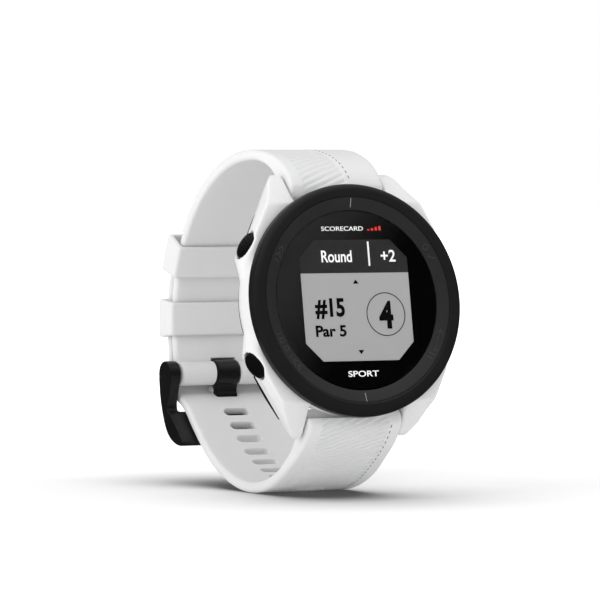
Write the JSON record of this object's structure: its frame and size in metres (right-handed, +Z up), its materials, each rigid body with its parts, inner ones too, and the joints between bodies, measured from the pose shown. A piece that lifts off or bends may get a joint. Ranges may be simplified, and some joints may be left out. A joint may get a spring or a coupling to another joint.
{
  "type": "golf gps watch",
  "caption": "Round white golf GPS watch with a black bezel, a cut-corner display, push buttons and a silicone strap closed in a buckled loop that it stands on.",
  "frame": {"origin": "middle of the footprint of the whole watch, on the surface that the strap loop stands on", "axes": "+X to the right of the face as its wearer reads it; +Y from the face back through the strap loop; +Z up. The face leans back 9.6 degrees."},
  "size_m": [0.0436, 0.0654, 0.065],
  "materials": {
    "white_polymer": "satin white polymer",
    "white_silicone": "matte white silicone",
    "black_polymer": "satin black polymer",
    "grey_polymer": "matte dark grey",
    "black_rubber": "matte",
    "lens_glass": "polished",
    "display": "grey reflective display",
    "light_guide": "clear sheet",
    "amber_film": "amber film",
    "circuit_board": "green solder mask",
    "steel": "plain steel",
    "battery_foil": "foil pouch",
    "gold_plate": "gold plated",
    "ceramic": "unglazed ceramic"
  },
  "bodies": {
    "case": {"case_body": "white_polymer", "bezel": "black_polymer", "lens": "lens_glass", "lens_gasket": "black_rubber", "back_cover": "black_polymer", "back_gasket": "black_rubber", "back_screw_1": "steel", "back_screw_2": "steel", "back_screw_3": "steel", "back_screw_4": "steel", "charge_contact_1": "gold_plate", "charge_contact_2": "gold_plate", "charge_contact_3": "gold_plate", "charge_contact_4": "gold_plate", "display_panel": "display", "light_guide": "light_guide", "display_frame": "grey_polymer", "mainboard": "circuit_board", "processor_shield": "steel", "gps_receiver": "steel", "gps_antenna": "ceramic", "charge_circuit": "grey_polymer", "display_flex": "amber_film", "battery": "battery_foil", "battery_lead": "amber_film", "button_seal_up": "black_rubber", "button_seal_down": "black_rubber", "button_seal_ok": "black_rubber", "button_seal_back": "black_rubber", "switch_up": "grey_polymer", "switch_down": "grey_polymer", "switch_ok": "grey_polymer", "switch_back": "grey_polymer"},
    "button_up": {"button_up": "black_polymer", "button_clip_up": "steel"},
    "button_down": {"button_down": "black_polymer", "button_clip_down": "steel"},
    "button_ok": {"button_ok": "black_polymer", "button_clip_ok": "steel"},
    "button_back": {"button_back": "black_polymer", "button_clip_back": "steel"},
    "long_strap_front": {"long_strap_front": "white_silicone", "lower_bar_tube": "steel", "lower_bar_spring": "steel"},
    "lower_lever": {"lower_bar_slider": "steel"},
    "band_back": {"long_strap_back": "white_silicone", "short_strap_back": "white_silicone", "buckle_pin": "steel"},
    "short_strap_front": {"short_strap_front": "white_silicone", "upper_bar_tube": "steel", "upper_bar_spring": "steel"},
    "upper_lever": {"upper_bar_slider": "steel"},
    "keeper_upper": {"keeper_upper": "white_silicone"},
    "keeper_lower": {"keeper_lower": "white_silicone"},
    "buckle_frame": {"buckle_frame": "black_polymer"},
    "buckle_tongue": {"buckle_tongue": "black_polymer"}
  },
  "joints": [
    {"name": "lower_strap_pivot", "type": "hinge", "parent": "case", "child": "long_strap_front", "pos_m": [0, -0.02522, 0.014], "axis": [1, 0, 0], "range_deg": [-6, 6], "stiffness_Nm_per_rad": 0.3},
    {"name": "lower_strap_flex", "type": "hinge", "parent": "long_strap_front", "child": "band_back", "pos_m": [0, 0.01472, 0.00725], "axis": [1, 0, 0], "range_deg": [-6, 6]},
    {"name": "upper_strap_flex", "type": "hinge", "parent": "band_back", "child": "short_strap_front", "pos_m": [0, 0.02212, 0.05103], "axis": [1, 0, 0], "range_deg": [-6, 6]},
    {"name": "up_button_press", "type": "slide", "parent": "case", "child": "button_up", "axis": [0.866, -0.0834, -0.493], "range_m": [0, 0.0005], "stiffness_N_per_m": 1500, "springref_m": -0.0002},
    {"name": "down_button_press", "type": "slide", "parent": "case", "child": "button_down", "axis": [0.866, 0.0834, 0.493], "range_m": [0, 0.0005], "stiffness_N_per_m": 1500, "springref_m": -0.0002},
    {"name": "ok_button_press", "type": "slide", "parent": "case", "child": "button_ok", "axis": [-0.866, -0.0834, -0.493], "range_m": [0, 0.0005], "stiffness_N_per_m": 1500, "springref_m": -0.0002},
    {"name": "back_button_press", "type": "slide", "parent": "case", "child": "button_back", "axis": [-0.866, 0.0834, 0.493], "range_m": [0, 0.0005], "stiffness_N_per_m": 1500, "springref_m": -0.0002},
    {"name": "lower_lever_slide", "type": "slide", "parent": "long_strap_front", "child": "lower_lever", "axis": [-1, 0, 0], "range_m": [0, 0.0012], "stiffness_N_per_m": 600, "springref_m": -0.0005, "deforming": ["lower_bar_spring"]},
    {"name": "upper_lever_slide", "type": "slide", "parent": "short_strap_front", "child": "upper_lever", "axis": [-1, 0, 0], "range_m": [0, 0.0012], "stiffness_N_per_m": 600, "springref_m": -0.0005, "deforming": ["upper_bar_spring"]},
    {"name": "upper_keeper_slide", "type": "hinge", "parent": "band_back", "child": "keeper_upper", "pos_m": [0, -0.003, 0.03154], "axis": [1, 0, 0], "range_deg": [-3.6, 3.6]},
    {"name": "lower_keeper_slide", "type": "hinge", "parent": "band_back", "child": "keeper_lower", "pos_m": [0, -0.003, 0.03154], "axis": [1, 0, 0], "range_deg": [-2, 3.6]},
    {"name": "buckle_hinge", "type": "hinge", "parent": "band_back", "child": "buckle_frame", "pos_m": [0, 0.02652, 0.02128], "axis": [1, 0, 0], "range_deg": [0, 6]},
    {"name": "tongue_hinge", "type": "hinge", "parent": "band_back", "child": "buckle_tongue", "pos_m": [0, 0.02652, 0.02128], "axis": [1, 0, 0], "range_deg": [0, 4]}
  ],
  "couplings": [
    {"joint": "lower_strap_flex", "follows": "lower_strap_pivot", "ratio": -1},
    {"joint": "upper_strap_flex", "follows": "lower_strap_pivot", "ratio": 1}
  ]
}
